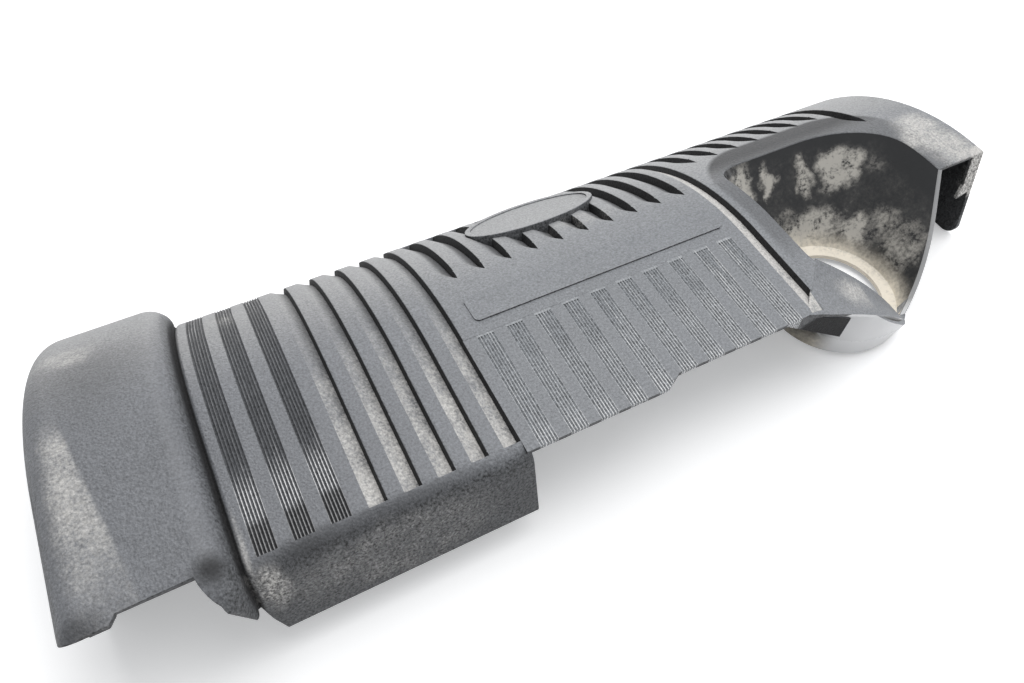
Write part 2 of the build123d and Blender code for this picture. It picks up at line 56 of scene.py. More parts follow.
# Where the cover's features lie, in metres
layout = {
    "pitch": 0.016,
    "hoodEndX": leftX + 0.069,
    "firstBandX": leftX + 0.086,
    "noseBands": 3,
    "longFlutes": 5,
    "panelBands": 10,
    "bandRidges": 6.0,
    "fluteWidth": 0.0085,
    "fluteWall": 0.0012,
    "fluteEndY": -0.0899,
    "bandWidth": 0.0092,
    "panelZ": 0.060,
    "crownY": -0.0288,
    "crownRadius": 0.1515,
    "bowlLow": Vector((0.1165, -0.1035, 0.0)),
    "bowlHigh": Vector((0.2360, 0.0362, 0.0592)),
    "bowlX": 0.1589,
    "bowlY": -0.0587,
    "ringRadius": 0.044,
    "ringTopZ": 0.006,
    "mouthLow": (0.1187, -0.1002),
    "mouthHigh": (0.2337, 0.0337),
    "mouthCorner": 0.030,
    "lipY": -0.0388,
    "lipSlope": 0.9827,
    "pinPlaces": (
        (-0.1545, -0.0623), (-0.1545, -0.0083), (0.0655, -0.0623), (0.0655, -0.0083),
    ),
    "bossRadius": 0.009,
    "bossTopZ": 0.056,
}
layout["firstFluteX"] = layout["firstBandX"] + layout["noseBands"] * layout["pitch"]
layout["noseEndX"] = layout["firstFluteX"] + (layout["longFlutes"] - 1) * layout["pitch"]
layout["longFluteX"] = layout["noseEndX"] + (layout["panelBands"] + 1) * layout["pitch"]
# Tips of the short flutes over the crown: from X, to X, Y of the tips
layout["slotTips"] = (
    (layout["noseEndX"], layout["longFluteX"] - layout["pitch"] / 2, 0.0127),
    (layout["longFluteX"], rightX - 0.042, 0.0423),
    (rightX - 0.048, rightX, 0.0192),
)


# Short helpers for shader nodes
def fillSockets(tree, made, sockets):
    for name, value in sockets.items():
        if isinstance(value, bpy.types.NodeSocket):
            tree.links.new(value, made.inputs[name])
        else:
            made.inputs[name].default_value = value
    return made


def addNode(tree, kind, sockets=None, **settings):
    made = tree.nodes.new("ShaderNode" + kind)
    for name, value in settings.items():
        setattr(made, name, value)
    return fillSockets(tree, made, sockets or {})


def calc(tree, operation, *values):
    return addNode(tree, "Math", dict(enumerate(values)), operation=operation).outputs[0]


def chain(tree, operation, first, *others):
    for other in others:
        first = calc(tree, operation, first, other)
    return first


def move(tree, operation, *values):
    return addNode(tree, "VectorMath", dict(enumerate(values)), operation=operation).outputs[0]


def ramp(tree, value, low, high, outLow=0.0, outHigh=1.0):
    sockets = {0: value, 1: low, 2: high, 3: outLow, 4: outHigh}
    return addNode(tree, "MapRange", sockets, interpolation_type="SMOOTHSTEP").outputs[0]


def mixColour(tree, factor, first, second, blend="MIX"):
    sockets = {0: factor, 6: first, 7: second}
    return addNode(tree, "Mix", sockets, data_type="RGBA", blend_type=blend).outputs[2]


def noise(tree, vector, scale, detail, rough):
    sockets = {"Vector": vector, "Scale": scale, "Detail": detail, "Roughness": rough}
    return addNode(tree, "TexNoise", sockets).outputs[0]


def newGroup(name, inputs, outputs):
    group = bpy.data.node_groups.new(name, "ShaderNodeTree")
    for label, kind in inputs.items():
        group.interface.new_socket(label, in_out="INPUT", socket_type="NodeSocket" + kind)
    for label, kind in outputs.items():
        group.interface.new_socket(label, in_out="OUTPUT", socket_type="NodeSocket" + kind)
    return group, group.nodes.new("NodeGroupInput").outputs, group.nodes.new("NodeGroupOutput")


def useGroup(tree, group, sockets):
    made = tree.nodes.new("ShaderNodeGroup")
    made.node_tree = group
    return fillSockets(tree, made, sockets).outputs


# Noise of the shared effects: detail and roughness
groupNoise = {
    "blotch": (4.0, 0.6),
    "speck": (2.0, 0.7),
    "grain": (3.0, 0.7),
    "grainShare": 0.8,
}


# Soft-edged ellipsoid: 1 in its middle, 0 outside
def makeSpotGroup():
    group, ins, out = newGroup(
        "softSpot",
        {"Position": "Vector", "Centre": "Vector", "Size": "Vector", "Soft": "Float"},
        {"Mask": "Float"},
    )
    away = move(group, "SUBTRACT", ins["Position"], ins["Centre"])
    share = move(group, "DIVIDE", away, ins["Size"])
    far = addNode(group, "VectorMath", {0: share}, operation="LENGTH").outputs["Value"]
    inner = calc(group, "SUBTRACT", 1.0, ins["Soft"])
    group.links.new(ramp(group, far, 1.0, inner), out.inputs["Mask"])
    return group


# Row of ribs along X: mask, and how far across its rib the place is
def makeRibGroup():
    group, ins, out = newGroup(
        "ribRow",
        {"Position": "Vector", "Start": "Float", "Pitch": "Float", "Count": "Float", "Width": "Float"},
        {"Mask": "Float", "Across": "Float"},
    )
    x = addNode(group, "SeparateXYZ", {0: ins["Position"]}).outputs["X"]
    steps = calc(group, "DIVIDE", calc(group, "SUBTRACT", x, ins["Start"]), ins["Pitch"])
    along = calc(group, "MULTIPLY", calc(group, "FRACT", steps), ins["Pitch"])
    across = calc(group, "DIVIDE", along, ins["Width"])
    inside = chain(
        group, "MULTIPLY",
        calc(group, "LESS_THAN", across, 1.0),
        calc(group, "GREATER_THAN", steps, 0.0),
        calc(group, "LESS_THAN", steps, ins["Count"]),
    )
    group.links.new(inside, out.inputs["Mask"])
    group.links.new(calc(group, "MULTIPLY", inside, across), out.inputs["Across"])
    return group


# Settled dust: broad blotches broken up by fine specks, where the place mask allows it
def makeDustGroup():
    group, ins, out = newGroup(
        "settledDust",
        {"Position": "Vector", "Place": "Float", "Blotch": "Float", "Speck": "Float", "Break": "Float"},
        {"Mask": "Float"},
    )
    blotch = noise(group, ins["Position"], ins["Blotch"], *groupNoise["blotch"])
    speck = noise(group, ins["Position"], ins["Speck"], *groupNoise["speck"])
    uneven = calc(group, "SUBTRACT", calc(group, "ADD", blotch, speck), 1.0)
    broken = calc(group, "ADD", 1.0, calc(group, "MULTIPLY", uneven, ins["Break"]))
    cover = calc(group, "MULTIPLY", ins["Place"], broken)
    group.links.new(ramp(group, cover, 0.0, 1.0), out.inputs["Mask"])
    return group


# Moulded grain: fine pebbles as height, and a speckle of tone
def makeGrainGroup():
    group, ins, out = newGroup(
        "mouldedGrain",
        {"Position": "Vector", "Size": "Float", "Contrast": "Float"},
        {"Height": "Float", "Speckle": "Color"},
    )
    share = groupNoise["grainShare"]
    scale = calc(group, "DIVIDE", 1.0, ins["Size"])
    sockets = {"Vector": ins["Position"], "Scale": scale}
    pebble = addNode(group, "TexVoronoi", sockets, feature="SMOOTH_F1").outputs["Distance"]
    fineScale = calc(group, "MULTIPLY", scale, share)
    fine = noise(group, ins["Position"], fineScale, *groupNoise["grain"])
    height = calc(group, "SUBTRACT", calc(group, "MULTIPLY", fine, share), pebble)
    group.links.new(height, out.inputs["Height"])
    swing = calc(group, "MULTIPLY", calc(group, "SUBTRACT", fine, 0.5), ins["Contrast"])
    tone = calc(group, "ADD", 1.0, swing)
    speckle = addNode(group, "CombineXYZ", {0: tone, 1: tone, 2: tone}).outputs[0]
    group.links.new(speckle, out.inputs["Speckle"])
    return group


spotGroup = makeSpotGroup()
ribGroup = makeRibGroup()
dustGroup = makeDustGroup()
grainGroup = makeGrainGroup()
print("node groups ready")

coverLook = {
    # Steep faces take the darker colour and top faces the paler one: partly real fading, partly painted
    # light from above
    "steep": (0.078, 0.081, 0.086, 1.0),
    "fadedAndLit": (0.176, 0.183, 0.198, 1.0),
    "panel": (0.31, 0.325, 0.342, 1.0),
    "shadow": (0.012, 0.012, 0.013, 1.0),
    "dustAndSheen": (0.53, 0.518, 0.50, 1.0),
    "wearAndGlint": (0.74, 0.74, 0.74, 1.0),
    "roughness": 0.48,
    "rimRoughness": 0.30,
    "shadeRoughness": 0.80,
    "dustRoughness": 0.85,
    "roughSwing": 0.2,
    "grainSize": 0.0010,
    "grainDepth": 0.00034,
    "grainStrength": 0.8,
    "topContrast": 1.6,
    "steepContrast": 5.0,
    # Slopes leaning to the far side also take the paler top colour, partly painted light
    "backLean": 0.35,  # how far a slope to the far side still counts as top
    "smear": 0.50,
    "smearX": -0.2499,
    "smearSlope": 0.173,
    "rightFluteDust": 0.92,
    "deepShade": 0.55,
    "wallsEndX": 0.25,
    "valleyShift": 0.0010,
    "stripFarY": -0.050,
    "bandFade": 0.75,
    "raggedSize": 0.020,
    "raggedPush": 0.022,
    "dustPattern": {"Blotch": 70.0, "Speck": 620.0, "Break": 2.2},
    # Noises: scale, detail, roughness
    "wideNoise": (16.0, 4.0, 0.6),
    "streakNoise": (520.0, 2.0, 0.6),
    "patchNoise": (26.0, 2.0, 0.5),
    "streakStretch": (1.0, 0.05, 0.05),
    # Ramps: where each starts and ends, and what it gives there if not 0 and 1
    "ramps": {
        "up": (0.25, 0.85),
        "topLightAndFade": (0.25, 0.7, 0.74, 1.0),
        "panelFade": (-0.16, -0.02, 0.0, 0.30),
        "sheenFacing": (0.12, 0.55),
        "sheenTilt": (0.3, 0.6, 0.0, 0.30),
        "fluteDust": (0.02, -0.080, 0.16, 0.60),
        "dustTilt": (-0.1, 0.25),
        "smearEdge": (0.0010, -0.0025),
        "smearLeft": (-0.2672, -0.2540),
        "smearFar": (0.016, -0.016),
        "smearNear": (-0.094, -0.052, 0.35, 1.0),
        "walls": (0.82, 0.94),
        "deep": (0.0008, 0.0036),
        "valley": (0.0018, 0.0008),
        "rim": (0.012, 0.008),
        "rimNear": (-0.066, -0.036),
        "rimShade": (0.015, 0.033, 0.42, 0.82),
        "bandShade": (-0.044, -0.060, 0.46, 0.16),
        "bandEndShade": (-0.0720, -0.0775, 0.0, 0.80),
        "nearFacing": (-0.5, -0.8),
        "ridge": (0.26, 0.46),
        "streak": (0.42, 0.68),
        "patch": (0.35, 0.65, 0.35, 1.0),
        "nearGlintStreak": (-0.045, -0.064, 0.0, 0.60),
        "panelLines": (-0.07, 0.08, 0.45, 1.0),
        "edgeGlints": (-0.082, -0.092, 0.0, 0.8),
        "noseGlintLines": (-0.038, -0.060, 0.12, 1.5),
        "farNoseGlare": (0.02, 0.07, 0.0, 0.5),
        "bandEndLines": (-0.0720, -0.0775, 1.0, 0.40),
    },
    # Dusty places, and a painted highlight on the end wall's lip: centre, half sizes, softness,
    # strength
    "spots": {
        "hoodFarLeft": ((-0.247, 0.050, 0.052), (0.022, 0.020, 0.020), 0.7, 0.42),
        "noseFar": ((-0.172, 0.066, 0.040), (0.030, 0.030, 0.030), 0.9, 0.30),
        "rightMargin": ((0.252, -0.014, 0.058), (0.026, 0.042, 0.018), 0.7, 0.70),
        "stripMiddle": ((0.138, -0.083, 0.043), (0.026, 0.018, 0.022), 0.9, 0.52),
        "skirtAll": ((-0.140, -0.102, 0.038), (0.070, 0.012, 0.030), 0.5, 0.21),
        "skirtCorner": ((-0.192, -0.099, 0.044), (0.012, 0.013, 0.030), 0.9, 0.62),
        "skirtLeft": ((-0.156, -0.101, 0.046), (0.026, 0.008, 0.012), 0.9, 0.34),
        "underPlate": ((0.026, 0.026, 0.048), (0.034, 0.012, 0.008), 0.8, 0.34),
        "endLipHighlight": ((0.266, -0.043, 0.050), (0.014, 0.012, 0.028), 0.4, 1.3),
    },
    # Dust with a straight outline
    "cleanSpots": {
        "valleyEdge": ((-0.1966, -0.084, 0.058), (0.0026, 0.030, 0.014), 0.8, 0.42),
    },
    # Places painted darker: painted shade in the hood's hollow, at the hood's near foot and on the
    # nose's front rounding, and a darker patch on the hood top
    "shades": {
        "hoodHollow": ((-0.2085, -0.092, 0.072), (0.011, 0.010, 0.015), 0.9, 0.88),
        "hoodNearFoot": ((-0.258, -0.094, 0.071), (0.014, 0.011, 0.014), 0.9, 0.55),
        "hoodTop": ((-0.238, 0.030, 0.066), (0.042, 0.052, 0.035), 0.9, 0.34),
        "noseFront": ((-0.138, -0.0935, 0.0570), (0.072, 0.0060, 0.0080), 0.7, 0.42),
        "noseLeft": ((-0.172, -0.0930, 0.0572), (0.036, 0.0080, 0.0085), 0.9, 0.62),
    },
    # Painted shade on the flange under the strip, only where the cover faces the near side
    "nearShades": {
        "flange": ((0.112, -0.091, 0.034), (0.032, 0.004, 0.024), 0.2, 1.0),
    },
}


# Position pushed about by noise, so that soft places get ragged outlines
def ragged(tree, position, size, amount):
    sockets = {"Vector": position, "Scale": 1.0 / size, "Detail": 3.0}
    push = addNode(tree, "TexNoise", sockets).outputs[1]
    push = move(tree, "SUBTRACT", push, (0.5, 0.5, 0.5))
    push = addNode(tree, "VectorMath", {0: push, "Scale": amount}, operation="SCALE").outputs[0]
    return move(tree, "ADD", position, push)


# Strongest of several soft places
def joinSpots(tree, position, spots, start=0.0):
    for centre, size, soft, strength in spots.values():
        sockets = {"Position": position, "Centre": centre, "Size": size, "Soft": soft}
        spot = useGroup(tree, spotGroup, sockets)["Mask"]
        start = calc(tree, "MAXIMUM", start, calc(tree, "MULTIPLY", spot, strength))
    return start


def spreadDust(tree, position, place, pattern):
    return useGroup(tree, dustGroup, {"Position": position, "Place": place, **pattern})["Mask"]


# Row of ribs, given by the right edge of its first rib
def ribRow(tree, position, firstX, width, count):
    return useGroup(tree, ribGroup, {
        "Position": position,
        "Start": firstX - width,
        "Pitch": layout["pitch"],
        "Count": count,
        "Width": width,
    })


# Depth below the outer skin: flat panel first, crown arc beyond it
def skinDepth(tree, split):
    y, z = split.outputs["Y"], split.outputs["Z"]
    flat = calc(tree, "SUBTRACT", layout["panelZ"], z)
    across = calc(tree, "SUBTRACT", y, layout["crownY"])
    above = calc(tree, "SUBTRACT", z, layout["panelZ"] - layout["crownRadius"])
    squares = [calc(tree, "MULTIPLY", side, side) for side in (across, above)]
    reach = calc(tree, "SQRT", calc(tree, "ADD", *squares))
    arc = calc(tree, "SUBTRACT", layout["crownRadius"], reach)
    onCrown = calc(tree, "GREATER_THAN", across, 0.0)
    onFlat = calc(tree, "SUBTRACT", 1.0, onCrown)
    parts = [calc(tree, "MULTIPLY", arc, onCrown), calc(tree, "MULTIPLY", flat, onFlat)]
    return calc(tree, "ADD", *parts)


# Distance outside the bowl's rounded mouth, negative inside it
def mouthDistance(tree, split):
    corner = layout["mouthCorner"]
    sides = []
    for axis, low, high in zip("XY", layout["mouthLow"], layout["mouthHigh"]):
        fromMiddle = calc(tree, "SUBTRACT", split.outputs[axis], (low + high) / 2)
        away = calc(tree, "ABSOLUTE", fromMiddle)
        sides.append(calc(tree, "SUBTRACT", away, (high - low) / 2 - corner))
    squares = []
    for side in sides:
        past = calc(tree, "MAXIMUM", side, 0.0)
        squares.append(calc(tree, "MULTIPLY", past, past))
    outer = calc(tree, "SQRT", calc(tree, "ADD", *squares))
    inner = calc(tree, "MINIMUM", calc(tree, "MAXIMUM", *sides), 0.0)
    return calc(tree, "SUBTRACT", calc(tree, "ADD", outer, inner), corner)


# New material with its nodes, its shader, its place and the way its surface faces
def newMaterial(name):
    material = bpy.data.materials.new(name)
    material.use_nodes = True
    tree = material.node_tree
    position = addNode(tree, "TexCoord").outputs["Object"]
    split = addNode(tree, "SeparateXYZ", {0: position})
    normal = addNode(tree, "NewGeometry").outputs["Normal"]
    facing = addNode(tree, "SeparateXYZ", {0: normal}).outputs
    return material, tree, tree.nodes["Principled BSDF"], position, split, facing


def makeCoverPlastic():
    look, ramps = coverLook, coverLook["ramps"]
    material, tree, shader, position, split, facing = newMaterial("coverPlastic")
    x, y = split.outputs["X"], split.outputs["Y"]
    tilt = facing["Z"]
    lean = calc(tree, "MULTIPLY", facing["Y"], look["backLean"])
    up = ramp(tree, calc(tree, "ADD", tilt, lean), *ramps["up"])
    calmer = calc(tree, "MULTIPLY", up, look["steepContrast"] - look["topContrast"])
    contrast = calc(tree, "SUBTRACT", look["steepContrast"], calmer)
    sockets = {"Position": position, "Size": look["grainSize"], "Contrast": contrast}
    grain = useGroup(tree, grainGroup, sockets)
    wide = noise(tree, position, *look["wideNoise"])
    depth = skinDepth(tree, split)
    mouth = mouthDistance(tree, split)
    behindNose = calc(tree, "GREATER_THAN", y, layout["fluteEndY"])
    besideHood = calc(tree, "GREATER_THAN", x, layout["hoodEndX"])
    pastFlute = calc(tree, "GREATER_THAN", x, layout["longFluteX"])
    offBowl = calc(tree, "GREATER_THAN", mouth, 0.0)

    # Dust in the long flutes, thicker towards their near ends
    wall = layout["fluteWall"]
    floorWidth = layout["fluteWidth"] - wall
    leftFloor, rightFloor = layout["firstFluteX"] - wall, layout["longFluteX"] - wall
    flutes = ribRow(tree, position, leftFloor, floorWidth, layout["longFlutes"])["Mask"]
    flutes = calc(tree, "MULTIPLY", flutes, ramp(tree, y, *ramps["fluteDust"]))
    rightFlute = ribRow(tree, position, rightFloor, floorWidth, 1)["Mask"]
    rightFlute = calc(tree, "MULTIPLY", rightFlute, look["rightFluteDust"])
    flutes = calc(tree, "MULTIPLY", calc(tree, "MAXIMUM", flutes, rightFlute), behindNose)

    # Wiped smear of dust on the hood, with one straight slanted edge
    slant = calc(tree, "ADD", x, calc(tree, "MULTIPLY", y, look["smearSlope"]))
    slant = calc(tree, "SUBTRACT", slant, look["smearX"])
    smear = chain(
        tree, "MULTIPLY",
        ramp(tree, slant, *ramps["smearEdge"]),
        ramp(tree, x, *ramps["smearLeft"]),
        ramp(tree, y, *ramps["smearFar"]),
        ramp(tree, y, *ramps["smearNear"]),
        look["smear"],
    )
    place = calc(tree, "MAXIMUM", flutes, smear)
    place = joinSpots(tree, position, look["cleanSpots"], place)
    outline = ragged(tree, position, look["raggedSize"], look["raggedPush"])
    place = joinSpots(tree, outline, look["spots"], place)
    place = calc(tree, "MULTIPLY", place, ramp(tree, tilt, *ramps["dustTilt"]))
    dustAndSheen = spreadDust(tree, position, place, look["dustPattern"])

    # Painted shade: black on the walls and bottoms of the flutes and slots and in the valley, darker
    # nose bands, dark rim round the bowl
    steepX = ramp(tree, calc(tree, "ABSOLUTE", facing["X"]), *ramps["walls"])
    beforeEnd = calc(tree, "LESS_THAN", x, look["wallsEndX"])
    walls = chain(tree, "MULTIPLY", steepX, besideHood, beforeEnd)
    leftOfStrip = calc(tree, "LESS_THAN", x, layout["longFluteX"])
    behindStrip = calc(tree, "GREATER_THAN", y, look["stripFarY"])
    offStrip = calc(tree, "MAXIMUM", leftOfStrip, behindStrip)
    low = ramp(tree, depth, *ramps["deep"])
    deep = chain(tree, "MULTIPLY", low, behindNose, offBowl, offStrip, look["deepShade"])
    valleyX = layout["hoodEndX"] + look["valleyShift"]
    fromValley = calc(tree, "ABSOLUTE", calc(tree, "SUBTRACT", x, valleyX))
    valley = ramp(tree, fromValley, *ramps["valley"])
    nearRim = ramp(tree, y, *ramps["rimNear"])
    rim = chain(tree, "MULTIPLY", ramp(tree, mouth, *ramps["rim"]), nearRim, pastFlute)
    rimShade = calc(tree, "MULTIPLY", rim, ramp(tree, y, *ramps["rimShade"]))
    bandWidth = layout["bandWidth"]
    # Nose bands painted darker for the shade in their grooves, less dark where their ridges catch
    # light, darkest where they curve down at their ends
    noseBands = ribRow(tree, position, layout["firstBandX"], bandWidth, layout["noseBands"])
    noseFine = calc(tree, "MULTIPLY", noseBands["Mask"], behindNose)
    bandEnd = ramp(tree, y, *ramps["bandEndShade"])
    bandShade = calc(tree, "MAXIMUM", ramp(tree, y, *ramps["bandShade"]), bandEnd)
    bandShade = calc(tree, "MULTIPLY", noseFine, bandShade)
    shade = chain(tree, "MAXIMUM", bandShade, walls, deep, valley, rimShade)
    shade = joinSpots(tree, position, look["shades"], shade)
    nearShade = joinSpots(tree, position, look["nearShades"])
    nearShade = calc(tree, "MULTIPLY", nearShade, ramp(tree, facing["Y"], *ramps["nearFacing"]))
    shade = calc(tree, "MAXIMUM", shade, nearShade)

    # Light lines on the ridges of the fine bands: wear on the panel, painted glints towards the bands'
    # near ends, painted glare on the nose's far end
    firstPanelX = layout["noseEndX"] + layout["pitch"]
    panelBands = ribRow(tree, position, firstPanelX, bandWidth, layout["panelBands"])
    onFlat = calc(tree, "LESS_THAN", y, layout["crownY"])
    panelFine = calc(tree, "MULTIPLY", panelBands["Mask"], onFlat)
    across = calc(tree, "ADD", noseBands["Across"], panelBands["Across"])
    ridge = calc(tree, "FRACT", calc(tree, "MULTIPLY", across, layout["bandRidges"]))
    ridge = calc(tree, "ABSOLUTE", calc(tree, "SUBTRACT", ridge, 0.5))
    ridge = ramp(tree, ridge, *ramps["ridge"])
    stretched = move(tree, "MULTIPLY", position, look["streakStretch"])
    streak = ramp(tree, noise(tree, stretched, *look["streakNoise"]), *ramps["streak"])
    patch = ramp(tree, noise(tree, position, *look["patchNoise"]), *ramps["patch"])
    streak = calc(tree, "MULTIPLY", streak, patch)
    streak = calc(tree, "MAXIMUM", streak, ramp(tree, y, *ramps["nearGlintStreak"]))
    panelLines = ramp(tree, x, *ramps["panelLines"])
    panelLines = calc(tree, "ADD", panelLines, ramp(tree, y, *ramps["edgeGlints"]))
    panelLines = calc(tree, "MULTIPLY", panelFine, panelLines)
    noseGlintLines = ramp(tree, y, *ramps["noseGlintLines"])
    noseGlintLines = calc(tree, "ADD", noseGlintLines, ramp(tree, y, *ramps["farNoseGlare"]))
    noseGlintLines = chain(tree, "MULTIPLY", noseFine, noseGlintLines, ramp(tree, y, *ramps["bandEndLines"]))
    wearAndGlintLines = calc(tree, "ADD", panelLines, noseGlintLines)
    wearAndGlintLines = calc(tree, "MINIMUM", chain(tree, "MULTIPLY", ridge, streak, wearAndGlintLines), 1.0)

    # Colours, from the plain plastic up to the dust: top faces paler, partly faded plastic and partly
    # painted light from above, and a painted sheen on slopes facing the far side
    topLightAndFade = calc(tree, "MULTIPLY", up, ramp(tree, wide, *ramps["topLightAndFade"]))
    panelFade = calc(tree, "MULTIPLY", up, ramp(tree, x, *ramps["panelFade"]))
    # Painted sheen on slopes that face the far side, given the dust colour
    farSheen = ramp(tree, facing["Y"], *ramps["sheenFacing"])
    farSheen = calc(tree, "MULTIPLY", farSheen, ramp(tree, tilt, *ramps["sheenTilt"]))
    bandFade = calc(tree, "MULTIPLY", panelFine, look["bandFade"])
    colour = mixColour(tree, topLightAndFade, look["steep"], look["fadedAndLit"])
    for mask, name in (
        (panelFade, "panel"), (farSheen, "dustAndSheen"), (shade, "shadow"),
        (bandFade, "panel"), (wearAndGlintLines, "wearAndGlint"), (dustAndSheen, "dustAndSheen"),
    ):
        colour = mixColour(tree, mask, colour, look[name])
    colour = mixColour(tree, 1.0, colour, grain["Speckle"], "MULTIPLY")
    tree.links.new(colour, shader.inputs["Base Color"])

    rough = look["roughness"]
    for mask, name in ((dustAndSheen, "dustRoughness"), (shade, "shadeRoughness"), (rim, "rimRoughness")):
        change = calc(tree, "MULTIPLY", mask, look[name] - look["roughness"])
        rough = calc(tree, "ADD", rough, change)
    swing = calc(tree, "MULTIPLY", calc(tree, "SUBTRACT", wide, 0.5), look["roughSwing"])
    tree.links.new(calc(tree, "ADD", rough, swing), shader.inputs["Roughness"])
    bump = addNode(tree, "Bump", {
        "Height": grain["Height"],
        "Distance": look["grainDepth"],
        "Strength": look["grainStrength"],
    })
    tree.links.new(bump.outputs[0], shader.inputs["Normal"])
    return material


bowlLook = {
    "colour": (0.028, 0.029, 0.031, 1.0),
    "dustAndSheen": (0.50, 0.48, 0.44, 1.0),
    "cream": (0.88, 0.81, 0.69, 1.0),
    "filmAndReflection": (0.80, 0.805, 0.815, 1.0),
    "roughness": 0.20,
    "dustRoughness": 0.70,
    "ringSize": (0.058, 0.062, 0.030),
    "ringSoft": 0.5,
    "everywhere": 0.10,
    # Strength of the painted highlight along the lip's cut edge
    "edge": 0.42,
    "edgeGlintWidth": 0.0009,
    "raggedSize": 0.018,
    "raggedPush": 0.030,
    "dustPattern": {"Blotch": 90.0, "Speck": 420.0, "Break": 2.8},
    "ringPattern": {"Blotch": 60.0, "Speck": 420.0, "Break": 0.9},
    # Ramps: where each starts and ends, and what it gives there if not 0 and 1
    "ramps": {
        "dustFacing": (0.0, 0.3),
        "ringFacing": (-0.3, 0.0),
        "topClean": (0.050, 0.043, 0.25, 1.0),
        "reflectionFacing": (-0.2, -0.7),
        "reflectionNear": (-0.080, -0.092),
    },
    # Dusty places, the two far left ones also painted reflection streaks: centre, half sizes, softness,
    # strength
    "spots": {
        "farRight": ((0.203, 0.005, 0.039), (0.019, 0.018, 0.018), 0.6, 0.85),
        "farLeftDustAndReflection": ((0.134, 0.016, 0.043), (0.0130, 0.028, 0.028), 0.9, 1.3),
        "farSecondDustAndReflection": ((0.152, 0.012, 0.039), (0.0070, 0.022, 0.020), 0.9, 1.0),
        "farMiddle": ((0.177, 0.008, 0.035), (0.0120, 0.016, 0.015), 0.8, 0.95),
        "low": ((0.168, -0.016, 0.013), (0.050, 0.022, 0.021), 0.9, 0.95),
        "ringRight": ((0.197, -0.026, 0.016), (0.015, 0.017, 0.013), 0.8, 0.80),
        "rightSide": ((0.209, -0.050, 0.022), (0.022, 0.036, 0.022), 0.7, 0.42),
        "farCorner": ((0.222, -0.004, 0.047), (0.020, 0.026, 0.016), 0.9, 0.32),
    },
}


def makeBowlPlastic():
    look, ramps = bowlLook, bowlLook["ramps"]
    material, tree, shader, position, split, facing = newMaterial("bowlPlastic")
    y, z = split.outputs["Y"], split.outputs["Z"]

    # Dust on the slopes with painted reflection streaks on the far left, cream dust around the filler
    # hole
    outline = ragged(tree, position, look["raggedSize"], look["raggedPush"])
    place = joinSpots(tree, outline, look["spots"], look["everywhere"])
    onSlope = ramp(tree, facing["Z"], *ramps["dustFacing"])
    place = chain(tree, "MULTIPLY", place, onSlope, ramp(tree, z, *ramps["topClean"]))
    dustAndSheen = spreadDust(tree, position, place, look["dustPattern"])
    centre = (layout["bowlX"], layout["bowlY"], 0.0)
    ring = joinSpots(tree, position, {"ring": (centre, look["ringSize"], look["ringSoft"], 1.0)})
    ring = calc(tree, "MULTIPLY", ring, ramp(tree, facing["Z"], *ramps["ringFacing"]))
    ring = spreadDust(tree, position, ring, look["ringPattern"])

    # Pale film on the near wall, partly a painted reflection of the floor; painted highlight along the
    # cut edge of the slanted lip
    nearFilmAndReflection = ramp(tree, facing["Y"], *ramps["reflectionFacing"])
    nearFilmAndReflection = calc(tree, "MULTIPLY", nearFilmAndReflection, ramp(tree, y, *ramps["reflectionNear"]))
    below = calc(tree, "SUBTRACT", z, layout["panelZ"])
    fromLip = calc(tree, "SUBTRACT", y, layout["lipY"])
    fromLip = calc(tree, "SUBTRACT", fromLip, calc(tree, "MULTIPLY", below, layout["lipSlope"]))
    edge = calc(tree, "LESS_THAN", calc(tree, "ABSOLUTE", fromLip), look["edgeGlintWidth"])
    filmAndReflection = calc(tree, "MAXIMUM", nearFilmAndReflection, calc(tree, "MULTIPLY", edge, look["edge"]))

    colour = look["colour"]
    for mask, name in ((dustAndSheen, "dustAndSheen"), (ring, "cream"), (filmAndReflection, "filmAndReflection")):
        colour = mixColour(tree, mask, colour, look[name])
    tree.links.new(colour, shader.inputs["Base Color"])
    dusty = calc(tree, "MAXIMUM", dustAndSheen, ring)
    rougher = calc(tree, "MULTIPLY", dusty, look["dustRoughness"] - look["roughness"])
    rough = calc(tree, "ADD", look["roughness"], rougher)
    tree.links.new(rough, shader.inputs["Roughness"])
    return material


coverPlastic = makeCoverPlastic()
bowlPlastic = makeBowlPlastic()
print("materials ready")

coverBody = {
    "name": "coverBody",
    "merge": 1e-6,
    "flat": math.radians(1.0),
    "sharp": math.radians(38),
    "crease": math.radians(32),
    "rounding": 0.0006,
    "segments": 2,
    "shortest": 0.0016,
    "tipLength": 0.008,
    "tipMargin": 0.002,
    "bandMargin": 0.001,
    "footTopZ": 0.002,
    # Crowded corners that stay sharp: place and reach
    "crowded": (
        ((0.0938, -0.0898, 0.0591), 0.003),
        ((-0.0715, -0.0919, 0.0591), 0.006),
        ((-0.2040, -0.1065, 0.0500), 0.009),
    ),
    # Outer skin of the crown: how near a corner lies to it, how deep a face may lie
    "skinMatch": 0.00015,
    "skinDepth": 0.0012,
    "skinTilt": 0.5,
    "firstTurn": -0.01,
    "longestTurn": math.radians(4.0),
    # Top of the strip across the front of the bowl
    "stripTilt": 0.35,
    "stripFarY": -0.060,
    "stripX": (0.105, 0.19),
    "stripZ": (0.0065, 0.0598),
}


# True in a row of fine bands, given by the right edge of its first band
def inBands(point, firstX, count):
    margin = coverBody["bandMargin"]
    lastX = firstX + (count - 1) * layout["pitch"]
    return firstX - layout["bandWidth"] - margin < point.x < lastX + margin


